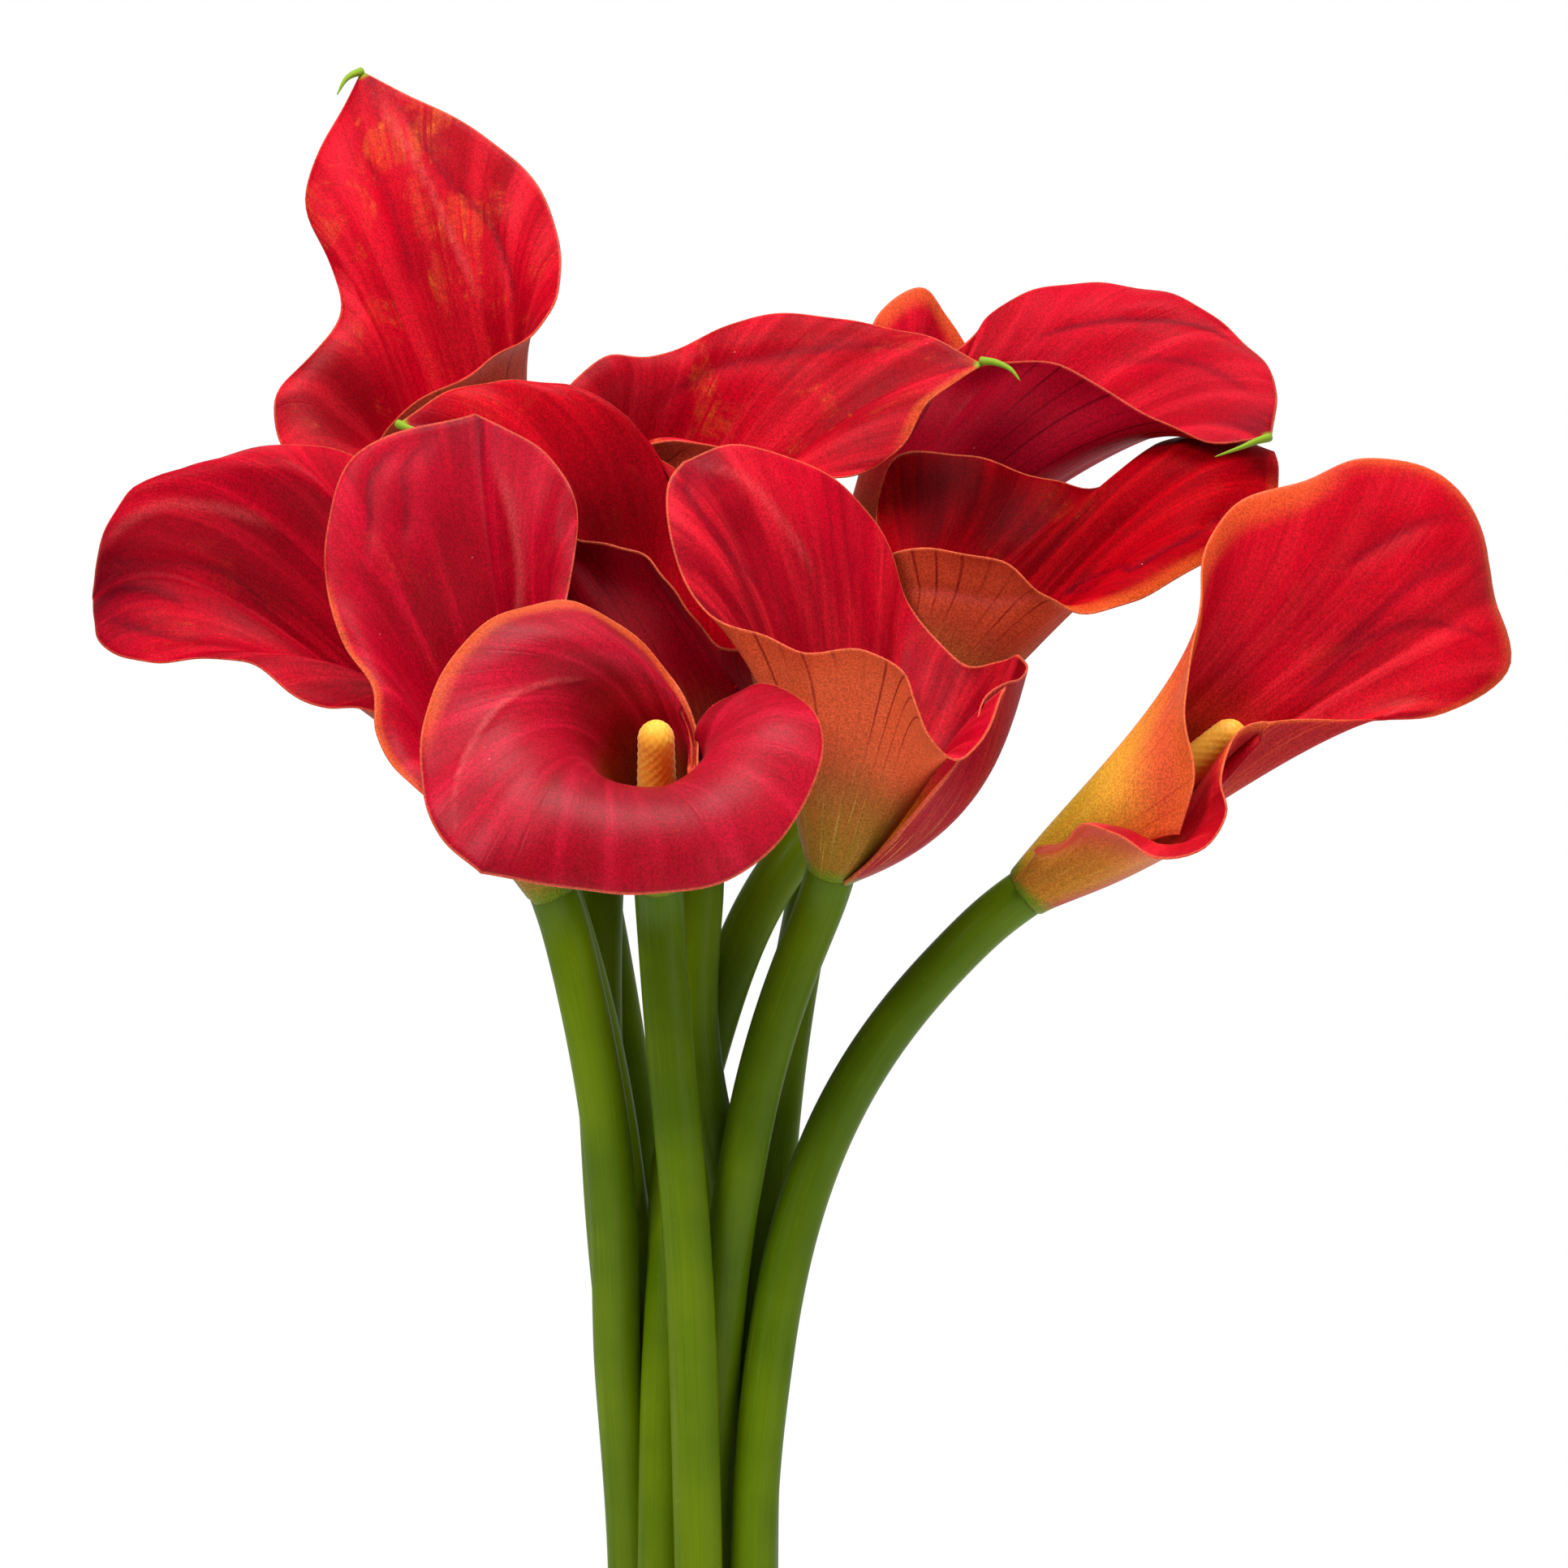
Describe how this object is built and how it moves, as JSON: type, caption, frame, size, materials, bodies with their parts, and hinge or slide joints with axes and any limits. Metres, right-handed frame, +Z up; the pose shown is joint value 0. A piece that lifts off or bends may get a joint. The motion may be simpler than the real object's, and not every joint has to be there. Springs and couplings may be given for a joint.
{
  "type": "potted calla lily",
  "caption": "Calla lilies with rolled red spathes and yellow spadices on bare curved stems, standing close together in a plain clay pot of soil.",
  "frame": {"origin": "centre of the pot's flat underside", "axes": "+Z up from the table through the pot and the stems; -Y is the front, the side that the picture shows, and +X is the viewer's right"},
  "size_m": [0.2931, 0.1691, 0.5054],
  "materials": {
    "spathe": "velvety petal, red inside, orange outside, yellow-green at the foot",
    "spadix": "rough with fine pollen beads",
    "stem": "smooth satin green with fine lengthwise streaks",
    "pot": "matt fired clay",
    "soil": "crumbly dark potting mix"
  },
  "bodies": {
    "root": {"spathe_01": "spathe", "spathe_02": "spathe", "spathe_03": "spathe", "spathe_04": "spathe", "spathe_05": "spathe", "spathe_06": "spathe", "spathe_07": "spathe", "spathe_08": "spathe", "spathe_09": "spathe", "spathe_10": "spathe", "spadix_01": "spadix", "spadix_02": "spadix", "spadix_03": "spadix", "spadix_04": "spadix", "spadix_05": "spadix", "spadix_06": "spadix", "spadix_07": "spadix", "spadix_08": "spadix", "spadix_09": "spadix", "spadix_10": "spadix", "stem_01": "stem", "stem_02": "stem", "stem_03": "stem", "stem_04": "stem", "stem_05": "stem", "stem_06": "stem", "stem_07": "stem", "stem_08": "stem", "stem_09": "stem", "stem_10": "stem", "pot": "pot", "soil": "soil"}
  },
  "joints": []
}
